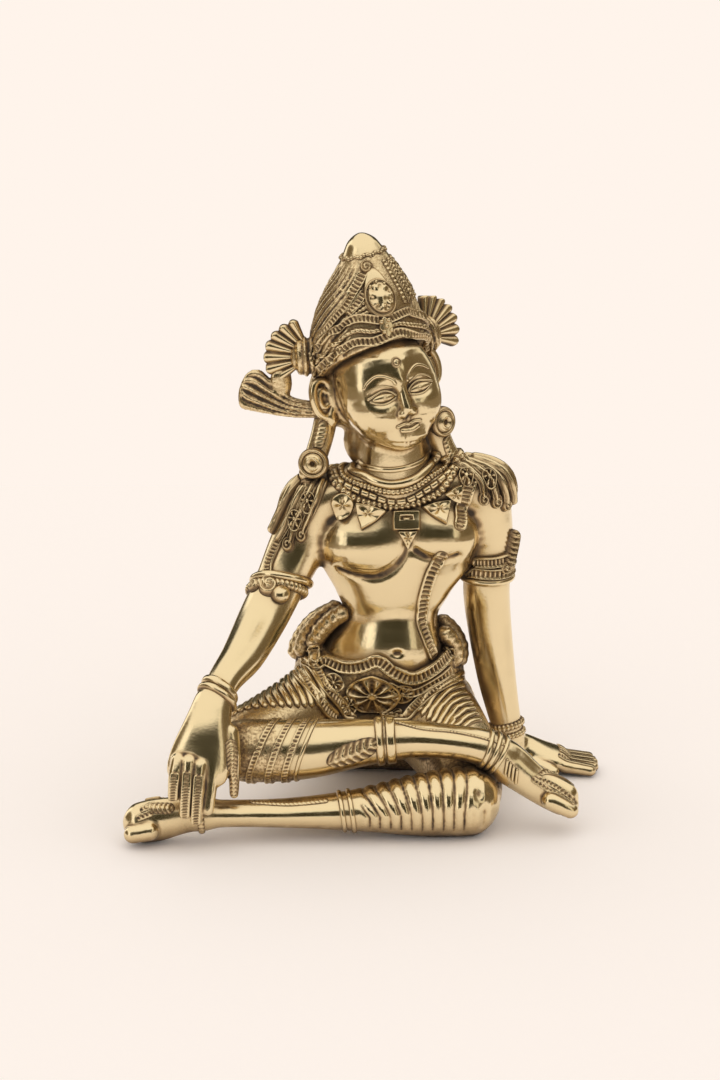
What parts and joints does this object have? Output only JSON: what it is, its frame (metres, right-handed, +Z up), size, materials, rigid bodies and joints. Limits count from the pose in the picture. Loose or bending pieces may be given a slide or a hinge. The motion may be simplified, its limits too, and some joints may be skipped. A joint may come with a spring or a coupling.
{
  "type": "indra idol",
  "caption": "Cast brass idol of Indra seated at royal ease, with a tall crown, jewellery and one hand resting on the ground, for a shelf, altar or desk.",
  "frame": {"origin": "on the ground under the middle of the casting's bounding box", "axes": "+Z up, the figure faces -Y, and its own left side is at +X"},
  "size_m": [0.1274, 0.0832, 0.15],
  "materials": {
    "brass": "polished cast brass with darker recesses"
  },
  "bodies": {
    "root": {"figure": "brass"}
  },
  "joints": []
}
